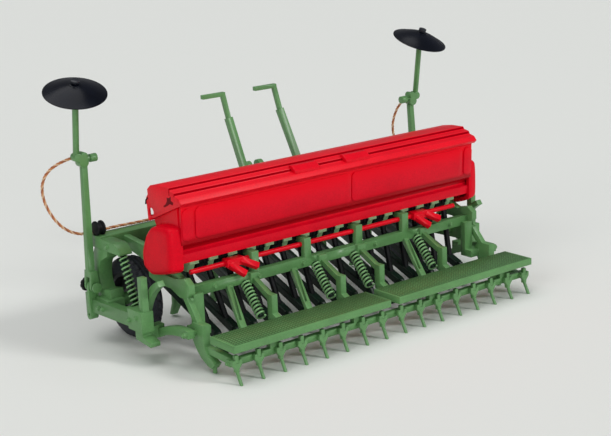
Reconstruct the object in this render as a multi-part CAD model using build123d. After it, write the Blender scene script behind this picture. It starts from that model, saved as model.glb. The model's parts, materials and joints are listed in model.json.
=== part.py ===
from build123d import *
import os
from math import cos, pi, radians, sin, tan

# 1:32 scale model of a three-point mounted seed drill. Millimetres.
# +Z up, +Y towards the tractor, +X to the machine's right, ground at Z = 0.

# ---------------------------------------------------------------- overall
DEPTH = 59.0                        # rear harrow tips to front of hitch
Y_REAR = -DEPTH / 2
Y_FRONT = DEPTH / 2
HOP_HALF = 44.9                     # half length of the hopper over its end walls
ROWS = 16
FIT = 0.05                          # running clearance on a radius
GAP = 0.35                          # gap between moving pieces
SEAT = 0.25                         # depth a pressed piece enters its seat

# ---------------------------------------------------------------- places across the machine
COVER_X0 = HOP_HALF - 0.4           # end covers
COVER_X1 = COVER_X0 + 3.3
FRAME_X1 = HOP_HALF + 0.1           # end frames
FRAME_X0 = FRAME_X1 - 1.6
SIDE_X0 = FRAME_X1 + 2.6            # side frames outside the wheels
SIDE_X1 = SIDE_X0 + 2.8
SIDE_MID = (SIDE_X0 + SIDE_X1) / 2
FRAME_HALF = SIDE_X1 + 0.2          # half length of the front beam
RAIL_HALF = HOP_HALF - 1.5
STEP_OUT = HOP_HALF + 1.3
PIVOT_X = FRAME_HALF + 1.6          # marker pivots

# ---------------------------------------------------------------- wheels
WHEEL_R = 9.8
TYRE_W = 5.6
SHOULDER = 1.1                      # chamfer of the tyre's shoulders
WHEEL_X = SIDE_X0 - 1.3 - TYRE_W / 2
WHEEL_Y = 15.8
RIM_R = 6.1
AXLE_R = 0.9
HEAD_R = 1.55                       # head and collar of the axle
HUB_R = 2.2
RIM_WALL = 0.8
RIM_DISH = 0.4                      # floor of the dish, from the middle of the tyre

# ---------------------------------------------------------------- front beam
BEAM_Y0, BEAM_Y1 = 17.5, 21.9
BEAM_TOP = 25.3
BEAM_H = 3.5
BEAM_BOTTOM = BEAM_TOP - BEAM_H
BEAM_END_RISE = 0.7                 # how much the underside rises to the ends
BEAM_MID_HALF = 14.0
BEAM_MID_DROP = 0.5                 # dip of the top at the middle

# ---------------------------------------------------------------- headstock
EAR_X0, EAR_X1 = 1.1, 2.5
EAR_TOP = 34.3
EAR_REACH = 4.4                     # ears in front of the beam
HEAD_T = 2.8
EAR_W = 2.8
TOP_PIN_R = 0.4
TOP_PIN_Z = EAR_TOP - 2.0
TOP_PIN_Y = BEAM_Y1 + 3.0
LEG_X0, LEG_X1 = 5.6, 8.4
CROSS_Z0, CROSS_Z1 = 22.0, 24.4
DRAW_Z0, DRAW_Z1 = 14.7, 16.6
DRAW_HALF = 12.2
DRAW_MID_HALF = 6.9
DRAW_MID_RISE = 0.7
DRAW_T = 3.4
PIN_R = 0.44
PIN_HALF = 15.6

# ---------------------------------------------------------------- hopper
HOP_WALL = 0.8
HOP_BOTTOM = 22.8
HOP_REAR = [                        # outside of the rear wall: (y, z) upwards
    (-7.9, HOP_BOTTOM), (-8.1, 24.9), (-7.0, 25.3), (-7.2, 26.2), (-8.8, 27.3), (-9.33, 36.5),
]
HOP_FRONT = [                       # outside of the front wall: (y, z) downwards
    (2.0, 31.6), (-1.6, 24.6), (-1.6, HOP_BOTTOM),
]
HOP_FLOOR = 24.0
GROOVE = 0.35                       # depth of the upright groove in each end wall
PANEL_PROUD = 0.35                  # raised panels on the rear wall
PANEL_H = 7.4
PANEL_R = 1.3
PANEL_END = HOP_HALF - 3.7
PANEL_SEAM = 4.1                    # the seam between the two panels
PILASTER_X = HOP_HALF - 2.9

# ---------------------------------------------------------------- lid
LID_OVERHANG = 0.6                  # lid past the hopper at each end
LID_HALF = HOP_HALF + LID_OVERHANG
LID_WALL = 0.8
LID_AXIS_Y, LID_AXIS_Z = 3.1, 31.6
LID_SECTION = [                     # front to rear: y, z outside; way inwards in y, in z
    (3.6, 31.9, -1.0, 0.0), (3.9, 36.3, -1.0, -0.4), (3.1, 37.2, -1.1, -0.1), (3.2, 38.4, -1.1, -0.5),
    (1.8, 39.5, -0.5, -1.0), (-1.6, 40.0, 0.0, -1.0), (-5.7, 40.1, 0.5, -1.0), (-6.1, 39.5, 0.6, -0.9),
    (-7.7, 39.2, 0.6, -1.0), (-8.1, 38.5, 0.6, -1.0), (-9.7, 38.1, 0.5, -1.0), (-10.5, 37.1, 0.8, -0.9),
]
LID_HOLE = (2.1, 33.3)              # (y, z)
LID_HOLE_R = 1.0
LID_NOTCH_W = 2.2                   # hinge notches in the lid's front wall
HINGE_R = 0.5

# ---------------------------------------------------------------- end covers
COVER_YZ = [                        # outline at the hopper: (y, z)
    (-8.7, 21.3), (-4.5, 19.8), (1.2, 18.6), (4.4, 20.2), (4.6, 23.8), (2.4, 28.4), (0.2, 30.6), (-3.0, 31.6),
    (-8.7, 31.6),
]
COVER_MID = (-2.6, 25.4)            # (y, z)
COVER_TAPER = 0.92                  # outer face against the inner one
COVER_HOLLOW = 0.82                 # its hollow against the outline
COVER_FACE_T = 1.6
COVER_R = 1.1

# ---------------------------------------------------------------- metering
METER_X = HOP_HALF - 4.8            # outermost row
METER_PITCH = 2 * METER_X / (ROWS - 1)
METER_W = 2.5
METER_Y0, METER_Y1 = -6.2, -2.0
METER_Z = 21.5                      # underside of the housings
CHUTE_Z = 19.5                      # underside of the chutes below them
ROD_Y, ROD_Z, ROD_R = -7.6, 20.4, 0.6

# ---------------------------------------------------------------- rear rail
RAIL_Y0, RAIL_Y1 = -9.1, -7.3
RAIL_Z0, RAIL_Z1 = 15.0, 17.4
UPRIGHT_W = 2.0
UPRIGHT_TOP = 22.0
UPRIGHT_X = [-25.3, -9.8, 6.3, 21.5]
SPRING_X = [-27.6, -6.9, 5.1, 26.0]
SLANT_X = [-35.1, -16.4, 19.4]
BRACKET_X = [-25.7, -5.4, 6.7, 27.5]
SPRING_R = 1.25
WIRE = 0.42                         # depth of the coils
COILS = 8

# ---------------------------------------------------------------- steps
STEP_IN = 1.3
STEP_Y0, STEP_Y1 = -28.9, -19.7
STEP_Z = 9.1
STEP_T = 1.1
STEP_LIP = 1.7
STEP_EDGE = 0.8

# ---------------------------------------------------------------- harrow
TINE_X = STEP_OUT - 1.3
TINE_PITCH = 2 * TINE_X / (ROWS - 1)
TINE_R = 0.42
HARROW_Y, HARROW_Z = -26.1, 4.6
HARROW_HALF = STEP_OUT
HARROW_BAR = 1.5
TAB_X = [-33.9, -9.8, 14.0, 38.2]
CLAMP_SHAPE = [                     # two ears with a notch between over a stem: (dx, dz)
    (-1.3, 0.9), (-1.3, -0.2), (-0.5, -1.2), (-0.45, -2.0), (0.45, -2.0), (0.5, -1.2),
    (1.3, -0.2), (1.3, 0.9), (0.6, 0.9), (0.4, 0.1), (-0.4, 0.1), (-0.6, 0.9),
]

# ---------------------------------------------------------------- coulters
COULTER_BAR_Y, COULTER_BAR_Z = 12.6, 14.6
COULTER_BAR = 1.8
ARM_X = WHEEL_X - TYRE_W / 2 - 2.5  # outermost coulter, clear of the tyre
ARM_PITCH = 2 * ARM_X / (ROWS - 1)
TUBE_R = 0.75

# ---------------------------------------------------------------- markers
PIVOT_Y, PIVOT_Z = 20.0, 13.3
PIVOT_R = 0.7
EYE_R = 1.25
TONGUE_T = 1.0                      # tongue of the lug between the prongs
PRONG_T = 0.7
ARM_W0, ARM_W1 = 1.7, 1.4           # arm width below and above
CLAMP_X, CLAMP_Y, CLAMP_Z = PIVOT_X + 0.1, 20.9, 43.7
CLAMP_T = 2.2
TOP_ROD_R = 0.75
DISC_X, DISC_Y, DISC_Z = PIVOT_X + 1.1, 18.6, 59.9
DISC_R = 7.4
DISC_T = 0.4
DISC_SIDES = 36
SPIN_R = 0.5
DISC_LEAN = (0.09, -0.346, 0.934)   # direction of the disc's own axis

# ---------------------------------------------------------------- ropes
ROPE_D = 0.75
CORD_SIDES = 6
ROPE_BEAM = [                       # along the beam: (part of its half length, y, z)
    (0.901, 21.7, 26.0), (0.711, 21.3, 25.8), (0.514, 22.7, 25.6), (0.316, 22.7, 24.1),
]
ROPE_END = (8.2984, 23.0, 23.2)     # end inside the headstock
ROPE_LOOP_LEFT = [                  # from the clamp down to the beam: (x outwards from the pivot, y, z)
    (0.8, 22.6, 44.1), (4.2, 24.9, 43.0), (7.1, 27.2, 39.2), (6.7, 28.0, 33.4),
    (4.2, 25.6, 27.4), (0.0, 22.9, 25.0),
]
ROPE_LOOP_RIGHT = [
    (0.8, 22.6, 44.1), (1.3, 25.4, 43.0), (0.4, 28.2, 39.6), (-0.7, 29.0, 34.4),
    (-0.4, 27.0, 28.4), (-1.2, 23.2, 25.0),
]


def block(x0, x1, y0, y1, z0, z1):
    """Box between opposite corners."""
    corner = (Align.MIN, Align.MIN, Align.MIN)
    box = Box(abs(x1 - x0), abs(y1 - y0), abs(z1 - z0), align=corner)
    return Pos(min(x0, x1), min(y0, y1), min(z0, z1)) * box


def plate_x(wire, x0, x1):
    """Plate across X from a closed (y, z) outline."""
    return Pos(x0, 0, 0) * extrude(Plane.YZ * make_face(wire), amount=x1 - x0)


def prism_x(yz, x0, x1):
    return plate_x(Polyline(*yz, close=True), x0, x1)


def prism_y(xz, y0, y1):
    face = Plane.XZ * make_face(Polyline(*xz, close=True))
    return Pos(0, y1, 0) * extrude(face, amount=y1 - y0)


def along(p, q):
    """Plane at p whose normal runs to q, and the distance."""
    p, q = Vector(*p), Vector(*q)
    return Plane(origin=p, z_dir=q - p), (q - p).length


def rod(p, q, r):
    plane, length = along(p, q)
    return plane * Cylinder(r, length, align=(Align.CENTER, Align.CENTER, Align.MIN))


def facet_rod(p, q, r, sides=8):
    """Round stock of a small or repeated piece, with few sides."""
    plane, length = along(p, q)
    return extrude(plane * RegularPolygon(r, sides), amount=length)


def bar(p, q, w, t):
    """Flat bar from p to q: w across along X, t the other way."""
    p, q = Vector(*p), Vector(*q)
    plane = Plane(origin=p, x_dir=(1, 0, 0), z_dir=q - p)
    return plane * Box(w, t, (q - p).length, align=(Align.CENTER, Align.CENTER, Align.MIN))


def flat_turned(profile, sides):
    """Turned shape of flat faces from open (radius, z) points, closed by its two end faces."""
    turns = [2 * pi * k / sides for k in range(sides)]
    rings = [[Vector(r * cos(a), r * sin(a), z) for a in turns] for r, z in profile]
    faces = [Face(Wire.make_polygon(ring)) for ring in (rings[0], rings[-1])]
    for low, high in zip(rings, rings[1:]):
        for k in range(sides):
            faces.append(Face(Wire.make_polygon([low[k - 1], low[k], high[k], high[k - 1]])))
    return Solid(Shell(faces))


def coil_sleeve(p, q, r, sides=8):
    """A coil spring as a sleeve of ridges from p to q."""
    plane, length = along(p, q)
    ridge = length / COILS / 2
    return plane * flat_turned([(r if i % 2 else r - WIRE, ridge * i) for i in range(2 * COILS + 1)], sides)


def revolve_x(pts, x, y, z):
    """Revolve (offset along X, radius) points about a line along X."""
    face = Plane.XZ * make_face(Polyline(*pts, close=True))
    return Pos(x, y, z) * revolve(face, axis=Axis.X)


def scaled(points, middle, factor):
    """Outline drawn larger or smaller about a point inside it."""
    return [(middle[0] + (a - middle[0]) * factor, middle[1] + (b - middle[1]) * factor) for a, b in points]


def mirrored(shape):
    return mirror(shape, about=Plane.YZ)


def both(shape):
    return [shape, mirrored(shape)]


def fuse(*shapes):
    whole = shapes[0]
    for s in shapes[1:]:
        whole = whole + s
    return whole


def rows(half, pitch):
    return [-half + pitch * i for i in range(ROWS)]


nodes = {}


def node(name, *shapes):
    solids = [s for shape in shapes for s in shape.solids()]
    nodes[name] = Compound(children=solids) if len(solids) > 1 else solids[0]


def node_pair(name, right):
    node(name + "_right", right)
    node(name + "_left", mirrored(right))


# ================================================================ front beam
END_Z0 = BEAM_BOTTOM + BEAM_END_RISE
half = [
    (0, BEAM_BOTTOM), (BEAM_MID_HALF, BEAM_BOTTOM), (FRAME_HALF, END_Z0),
    (FRAME_HALF, BEAM_TOP), (BEAM_MID_HALF, BEAM_TOP), (0, BEAM_TOP - BEAM_MID_DROP),
]
half_beam = prism_y(half, BEAM_Y0, BEAM_Y1)
SPRING_TOP_Y, SPRING_TOP_Z = 10.4, END_Z0 + 0.2
seat_line = Polyline((SPRING_TOP_Y - 1.6, END_Z0), (BEAM_Y0, END_Z0), (BEAM_Y0, BEAM_TOP - 0.3),
                     (13.0, BEAM_TOP - 0.4))
seat_line += ThreePointArc((13.0, BEAM_TOP - 0.4), (10.0, BEAM_TOP - 1.1), (SPRING_TOP_Y - 1.6, END_Z0))
seat_arm = plate_x(seat_line, FRAME_HALF - 3.4, FRAME_HALF)
node("front_beam", fuse(half_beam, mirrored(half_beam), *both(seat_arm)))

# ================================================================ headstock
HEAD_Y0, HEAD_Y1 = BEAM_Y1, BEAM_Y1 + HEAD_T
EAR_Y1 = BEAM_Y1 + EAR_REACH
EAR_CURVE = EAR_TOP - EAR_W / 2      # where the round top starts
ear_line = Polyline((EAR_Y1 - EAR_W, EAR_CURVE), (HEAD_Y0, TOP_PIN_Z - 3), (HEAD_Y0, CROSS_Z0),
                    (HEAD_Y1, CROSS_Z0), (EAR_Y1, TOP_PIN_Z - 2), (EAR_Y1, EAR_CURVE))
ear_line += ThreePointArc((EAR_Y1, EAR_CURVE), (EAR_Y1 - EAR_W / 2, EAR_TOP), (EAR_Y1 - EAR_W, EAR_CURVE))
ear = plate_x(ear_line, EAR_X0, EAR_X1)
ear -= rod((0, TOP_PIN_Y, TOP_PIN_Z), (EAR_X1 + 1, TOP_PIN_Y, TOP_PIN_Z), TOP_PIN_R)
PIN_Y = Y_FRONT - DRAW_T / 2
PIN_Z = (DRAW_Z0 + DRAW_Z1) / 2
leg = prism_x([
    (HEAD_Y0, CROSS_Z1), (HEAD_Y1, CROSS_Z1), (PIN_Y, DRAW_Z1), (PIN_Y, DRAW_Z0),
    (HEAD_Y1, DRAW_Z0), (HEAD_Y0, CROSS_Z0 - 2)], LEG_X0, LEG_X1)
cross = block(-LEG_X1, LEG_X1, HEAD_Y0, HEAD_Y1, CROSS_Z0, CROSS_Z1)
DRAW_MID_Z1 = DRAW_Z1 + DRAW_MID_RISE
draw = prism_y([
    (-DRAW_HALF, DRAW_Z0), (DRAW_HALF, DRAW_Z0), (DRAW_HALF, DRAW_Z1), (DRAW_MID_HALF, DRAW_MID_Z1),
    (-DRAW_MID_HALF, DRAW_MID_Z1), (-DRAW_HALF, DRAW_Z1)], Y_FRONT - DRAW_T, Y_FRONT)
pins = rod((-PIN_HALF, PIN_Y, PIN_Z), (PIN_HALF, PIN_Y, PIN_Z), PIN_R)
node("headstock", fuse(cross, *both(ear), *both(leg), draw, pins))

# ================================================================ hopper
hop_inner = [
    (HOP_REAR[2][0] + HOP_WALL, HOP_FLOOR), (HOP_REAR[2][0] + HOP_WALL, HOP_REAR[3][1] + HOP_WALL / 2),
    (HOP_REAR[4][0] + HOP_WALL, HOP_REAR[4][1] + HOP_WALL * 0.75),
    (HOP_REAR[5][0] + HOP_WALL, HOP_REAR[5][1] + 1),
    (HOP_FRONT[0][0] - HOP_WALL, HOP_REAR[5][1] + 1), (HOP_FRONT[0][0] - HOP_WALL, HOP_FRONT[0][1]),
    (HOP_FRONT[1][0] - HOP_WALL, HOP_FRONT[1][1] + 0.1), (HOP_FRONT[1][0] - HOP_WALL, HOP_FLOOR),
]
trough = prism_x(HOP_REAR + HOP_FRONT, -HOP_HALF, HOP_HALF)
trough -= prism_x(hop_inner, HOP_WALL - HOP_HALF, HOP_HALF - HOP_WALL)
end_groove = block(HOP_HALF - GROOVE, HOP_HALF + 1, -8.7, -7.8, 28.4, HOP_REAR[-1][1])
trough -= fuse(*both(end_groove))
wall_foot, wall_head = Vector(0, *HOP_REAR[-2]), Vector(0, *HOP_REAR[-1])
wall_plane = Plane(origin=(wall_foot + wall_head) * 0.5, x_dir=(1, 0, 0), z_dir=(0, wall_foot.Z - wall_head.Z,
                                                                                  wall_head.Y - wall_foot.Y))


def panel(x0, x1):
    """Raised panel with round corners on the rear wall."""
    face = Pos((x0 + x1) / 2, 0, -0.3) * RectangleRounded(x1 - x0, PANEL_H, PANEL_R)
    return wall_plane * extrude(face, amount=0.3 + PANEL_PROUD, dir=(0, 0, 1))


panels = [panel(-PANEL_END, PANEL_SEAM - 0.2), panel(PANEL_SEAM + 0.2, PANEL_END)]
pilaster = panel(PILASTER_X, PILASTER_X + 2 * PANEL_R + 0.1)
KNUCKLE_X = [k * HOP_HALF for k in (-0.89, -0.31, 0.31, 0.89)]
knuckles = [
    block(x - 1.2, x + 1.2, 1.2, LID_AXIS_Y, LID_AXIS_Z - 1.2, LID_AXIS_Z)
    - rod((x - 2, LID_AXIS_Y, LID_AXIS_Z), (x + 2, LID_AXIS_Y, LID_AXIS_Z), HINGE_R + FIT)
    for x in KNUCKLE_X]
node("hopper", fuse(trough, *panels, *both(pilaster), *knuckles))

# ================================================================ lid
def lid_line(depth):
    """The lid's section, this far in from its outside."""
    return [(y + in_y * depth, z + in_z * depth) for y, z, in_y, in_z in LID_SECTION]


lid_shell = prism_x(lid_line(0) + list(reversed(lid_line(LID_WALL))), -LID_HALF, LID_HALF)
lid_end = prism_x(lid_line(LID_WALL / 2) + [(1.2, LID_SECTION[0][1] + 0.1)], HOP_HALF + GAP / 2, LID_HALF)
lid_end -= rod((HOP_HALF - 1, *LID_HOLE), (LID_HALF + 1, *LID_HOLE), LID_HOLE_R)
lid_notch = block(HOP_HALF - LID_NOTCH_W, HOP_HALF + GAP / 2, 2.6, 4.2,
                  LID_AXIS_Z + 0.6, LID_HOLE[1] + LID_HOLE_R)
lid_shell -= fuse(*both(lid_notch))
barrel = rod((-LID_HALF, LID_AXIS_Y, LID_AXIS_Z), (LID_HALF, LID_AXIS_Y, LID_AXIS_Z), HINGE_R)
node("lid", fuse(lid_shell, *both(lid_end), barrel))
CATCH_X = [-9.2, 6.4]
CATCH_W = 7.4
catch_yz = [(-8.0, 38.4), (-7.0, 39.2), (-7.0, 39.9), (-8.2, 39.9), (-9.6, 38.8), (-9.6, 38.0)]
node("lid_catches", *[prism_x(catch_yz, x - CATCH_W / 2, x + CATCH_W / 2) for x in CATCH_X])

# ================================================================ end covers
cover_outer = scaled(COVER_YZ, COVER_MID, COVER_TAPER)
cover = loft([
    Plane.YZ.offset(COVER_X0) * make_face(FilletPolyline(*COVER_YZ, radius=COVER_R, close=True)),
    Plane.YZ.offset(COVER_X1) * make_face(FilletPolyline(*cover_outer, radius=COVER_R, close=True)),
], ruled=True)
pocket = prism_x(HOP_REAR + HOP_FRONT, COVER_X0 - 1, HOP_HALF)
opened = prism_x(scaled(COVER_YZ, COVER_MID, COVER_HOLLOW), COVER_X0 - 1, COVER_X1 - COVER_FACE_T)
cover -= fuse(pocket, opened)
node("end_covers", *both(cover))

# ================================================================ metering
units = []
for x in rows(METER_X, METER_PITCH):
    housing = block(x - METER_W / 2, x + METER_W / 2, METER_Y0, METER_Y1, METER_Z, HOP_BOTTOM)
    chute = prism_x([(METER_Y0 + 0.5, METER_Z), (METER_Y1, METER_Z), (METER_Y1 - 0.4, CHUTE_Z),
                     (METER_Y0 + 1.6, CHUTE_Z)], x - METER_W / 2, x + METER_W / 2 - 0.7)
    units.append(housing + chute)
node("metering_units", *units)

# ================================================================ shaft and forks
node("drive_shaft", rod((1 - RAIL_HALF, ROD_Y, ROD_Z), (RAIL_HALF - 1, ROD_Y, ROD_Z), ROD_R))
FORK_X = [-33.2, 24.5]
forks = []
for x in FORK_X:
    hub = block(x + 0.2, x + 5.0, ROD_Y - 1.4, ROD_Y + 0.9, ROD_Z - 0.8, ROD_Z + 1.0)
    long_prong = bar((x + 4.1, ROD_Y - 0.9, ROD_Z + 0.2), (x + 8.0, ROD_Y - 2.3, ROD_Z - 1.8), 1.4, 1.4)
    short_prong = bar((x + 1.0, ROD_Y - 1.0, ROD_Z - 0.3), (x + 4.0, ROD_Y - 3.0, ROD_Z - 2.7), 1.4, 1.3)
    forks.append(fuse(hub, long_prong, short_prong))
node("fork_levers", *forks)

# ================================================================ rear rail
rail = block(-RAIL_HALF, RAIL_HALF, RAIL_Y0, RAIL_Y1, RAIL_Z0, RAIL_Z1)
upright_line = [
    (RAIL_Y0, RAIL_Z1), (RAIL_Y1 - 0.4, RAIL_Z1), (RAIL_Y1 - 0.4, UPRIGHT_TOP - 1.2),
    (METER_Y0 + 0.6, UPRIGHT_TOP - 1.2), (METER_Y0 + 0.6, UPRIGHT_TOP), (RAIL_Y0, UPRIGHT_TOP),
]
upright = [prism_x(upright_line, x - UPRIGHT_W / 2, x + UPRIGHT_W / 2) for x in UPRIGHT_X]
heads = [block(x - 1.8, x + 0.7, RAIL_Y0 - 1.0, RAIL_Y0, RAIL_Z0 - 0.1, RAIL_Z1 - 0.1) for x in BRACKET_X]
node("rear_rail", fuse(rail, *upright, *heads))
springs = [coil_sleeve((x - 1.0, RAIL_Y0 + 0.2, RAIL_Z0 + 0.6), (x - 2.2, -16.7, 8.7), SPRING_R)
           for x in SPRING_X]
node("pressure_springs", *springs)

# ================================================================ step brackets and slanted channels
STEP_Z0 = STEP_Z - STEP_T
brackets = []
for x in BRACKET_X:
    strut = bar((x - 0.5, RAIL_Y0 + SEAT, RAIL_Z0 + 1.0), (x - 1.5, -17.6, 12.8), 1.3, 1.3)
    post = prism_x([(-18.4, 14.0), (-16.6, 14.0), (-16.6, STEP_Z0), (STEP_Y1 - SEAT, STEP_Z0),
                    (STEP_Y1 - SEAT, STEP_Z - 0.2), (-18.4, STEP_Z + 0.6)], x - 2.3, x - 0.7)
    brackets.append(strut + post)
node("step_brackets", *brackets)
slants = []
for x in SLANT_X:
    web = bar((x + 2.3, RAIL_Y1 - 1.3, RAIL_Z0 + SEAT), (x - 2.1, STEP_Y1 - SEAT, STEP_Z0 + 0.5), 1.6, 1.1)
    groove = bar((x + 2.3, RAIL_Y0 - 0.6, RAIL_Z0 + 0.35), (x - 2.0, STEP_Y1 + 0.8, STEP_Z0 + 1.15), 0.6, 0.9)
    slants.append(web - groove)
node("slanted_channels", *slants)

# ================================================================ end frames
gusset = prism_x([
    (5.8, 19.4), (5.8, 17.1), (2.1, 16.2), (-3.2, 16.2), (-6.7, 14.9), (-9.4, 14.9), (-10.7, 16.4),
    (-10.7, 18.4), (-8.9, 19.6), (-5.0, 18.8)], FRAME_X0, FRAME_X1)
vertical = block(FRAME_X0 - 2.4, FRAME_X0 + 0.2, -10.4, RAIL_Y0 + SEAT, 7.0, RAIL_Z0 + 1.0)
tie = block(FRAME_X0 - 2.4, FRAME_X0 + 1.6, -12.6, -8.9, 7.0, 8.8)
diagonal = bar((FRAME_X1 - 0.7, -8.7, 15.4), (FRAME_X1 - 0.4, -13.4, 9.8), 1.4, 1.5)
hook_line = Polyline((-11.2, 9.4), (-12.4, 10.6), (-16.3, 10.6), (-16.3, 6.4))
hook_line += ThreePointArc((-16.3, 6.4), (-17.5, 4.2), (-20.2, 2.6))
hook_line += Line((-20.2, 2.6), (-19.0, 1.2))
hook_line += ThreePointArc((-19.0, 1.2), (-13.6, 4.2), (-11.2, 9.4))
hook = plate_x(hook_line, FRAME_X1 - 1.2, FRAME_X1 + 0.7)
stop = rod((FRAME_X1 - 0.2, -18.9, 0.2), (FRAME_X1 - 0.2, -18.9, 2.4), 0.5)
arm = bar((FRAME_X1 - 0.6, -16.0, 5.0), (FRAME_X1 - 0.6, HARROW_Y, HARROW_Z), 1.6, 1.5)
end_frame = fuse(gusset, vertical, tie, diagonal, hook, stop, arm)
node("end_frames", *both(end_frame))

side_plate = prism_x([
    (BEAM_Y0, BEAM_TOP - 3.2), (BEAM_Y0, BEAM_TOP - 0.6), (6.0, 23.6), (-6.2, 18.8),
    (3.4, 18.0), (10.0, 20.6)], FRAME_X0 - 0.8, COVER_X0 - 0.2)
STRUT_X = [-31.0, -12.2, 12.2, 31.0]
struts = [prism_x([(BEAM_Y0, BEAM_TOP - 2.6), (BEAM_Y0, BEAM_TOP), (-1.6, 24.4), (-1.6, HOP_BOTTOM)],
                  x - 0.8, x + 0.8) for x in STRUT_X]
node("hopper_brackets", *both(side_plate), *struts)

# ================================================================ steps
def step(x0, x1):
    """Folded tread plate: a deck with turned-down edges."""
    deck = block(x0, x1, STEP_Y0, STEP_Y1, STEP_Z - STEP_LIP, STEP_Z)
    under = block(x0 + STEP_EDGE, x1 - STEP_EDGE, STEP_Y0 + STEP_EDGE, STEP_Y1 + 1,
                  STEP_Z - STEP_LIP - 1, STEP_Z0)
    return deck - under


node("steps", *both(step(STEP_IN, STEP_OUT)))

# ================================================================ harrow
bar_half = HARROW_BAR / 2
tabs = [block(x - 1.3, x + 1.3, HARROW_Y - bar_half, HARROW_Y + bar_half, HARROW_Z + 0.2, STEP_Z0)
        for x in TAB_X]
harrow_beam = block(-HARROW_HALF, HARROW_HALF, HARROW_Y - bar_half, HARROW_Y + bar_half,
                    HARROW_Z - bar_half, HARROW_Z + bar_half)
node("harrow_bar", fuse(harrow_beam, *tabs))
CLAMP_Y1 = HARROW_Y - bar_half
clamps, tines = [], []
for x in rows(TINE_X, TINE_PITCH):
    fork = prism_y([(x + dx, HARROW_Z + dz) for dx, dz in CLAMP_SHAPE], CLAMP_Y1 - 1.1, CLAMP_Y1)
    clamps.append(fork + block(x - 0.5, x + 0.5, CLAMP_Y1 - 0.9, CLAMP_Y1, HARROW_Z, HARROW_Z + 1.9))
    tine = facet_rod((x, CLAMP_Y1 - 0.6, HARROW_Z - 1.6), (x, Y_REAR + TINE_R, -0.2), TINE_R)
    tines.append(tine - block(x - 2, x + 2, Y_REAR - 3, Y_REAR + 4, -2, 0))
node("harrow_clamps", *clamps)
node("harrow_tines", *tines)

# ================================================================ coulters and seed tubes
c_half = COULTER_BAR / 2
coulter_beam = block(-ARM_X - 0.6, ARM_X + 0.6, COULTER_BAR_Y - c_half, COULTER_BAR_Y + c_half,
                     COULTER_BAR_Z - c_half, COULTER_BAR_Z + c_half)
HANGER_X = [-24.0, -8.0, 8.0, 24.0]
hangers = [bar((x, COULTER_BAR_Y + 0.6, COULTER_BAR_Z), (x, BEAM_Y0 + 1.2, BEAM_BOTTOM + 0.8), 1.6, 1.4)
           for x in HANGER_X]
node("coulter_bar", fuse(coulter_beam, *hangers))
arms, tubes = [], []
for x, m in zip(rows(ARM_X, ARM_PITCH), rows(METER_X, METER_PITCH)):
    link = bar((x, COULTER_BAR_Y - 0.6, COULTER_BAR_Z - 0.3), (x, -10.6, 5.4), 2.0, 1.7)
    shoe = prism_x([(-8.8, 7.0), (-11.6, 6.2), (-14.2, 1.6), (-12.6, 1.0), (-9.6, 3.6)], x - 0.6, x + 0.6)
    arms.append(link + shoe)
    tubes.append(facet_rod((m - 0.3, METER_Y0 + 2.6, CHUTE_Z + SEAT), (x, -7.4, 6.9), TUBE_R))
node("coulter_arms", *arms)
outlet_strip = block(-METER_X - 1.6, METER_X + 1.6, METER_Y1 - 0.2, METER_Y1 + 0.7,
                     CHUTE_Z - 0.4, HOP_BOTTOM - 0.2)
node("seed_tubes", outlet_strip, *tubes)

# ================================================================ track looseners
LOOSENER_X = [-29.2, -17.6, 17.6, 29.2]
STUB_X = [-37.6, -32.6, 32.6, 37.6]
loosener_line = [
    (BEAM_Y0 + 1.4, BEAM_BOTTOM + 2 * SEAT), (BEAM_Y0 + 3.4, BEAM_BOTTOM + 2 * SEAT),
    (BEAM_Y0 + 3.4, 3.6), (BEAM_Y0 + 4.6, 0.5), (BEAM_Y0 + 3.4, 0.5), (BEAM_Y0 + 1.4, 3.4),
]
looseners = [prism_x(loosener_line, x - 0.8, x + 0.8) for x in LOOSENER_X]
looseners += [block(x - 0.9, x + 0.9, BEAM_Y0 + 0.4, BEAM_Y0 + 2.0, 9.0, END_Z0 + SEAT) for x in STUB_X]
node("track_looseners", *looseners)

# ================================================================ control levers
LEVER_X = [(-5.5, -7.6), (12.2, 8.6)]   # (foot, knee)
LEVER_FOOT = (17.6, BEAM_TOP)       # (y, z)
LEVER_KNEE = (24.0, 46.6)
LEVER_TOP = (26.2, 52.6)
levers = []
for foot_x, x in LEVER_X:
    foot = prism_y([(foot_x - 1.8, BEAM_TOP - SEAT), (foot_x + 1.8, BEAM_TOP - SEAT),
                    (foot_x + 0.4, BEAM_TOP + 6.6), (foot_x - 1.3, BEAM_TOP + 6.6)],
                   LEVER_FOOT[0] - 0.4, LEVER_FOOT[0] + 0.9)
    lower = bar((foot_x, *LEVER_FOOT), (x, *LEVER_KNEE), 1.7, 1.4)
    upper = bar((x, *LEVER_KNEE), (x, *LEVER_TOP), 1.1, 1.0)
    grip = block(x - 6.2, x + 0.55, LEVER_TOP[0] - 0.6, LEVER_TOP[0] + 0.6,
                 LEVER_TOP[1] - 0.7, LEVER_TOP[1] + 0.3)
    levers.append(fuse(foot, lower, upper, grip))
node("control_levers", *levers)

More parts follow.
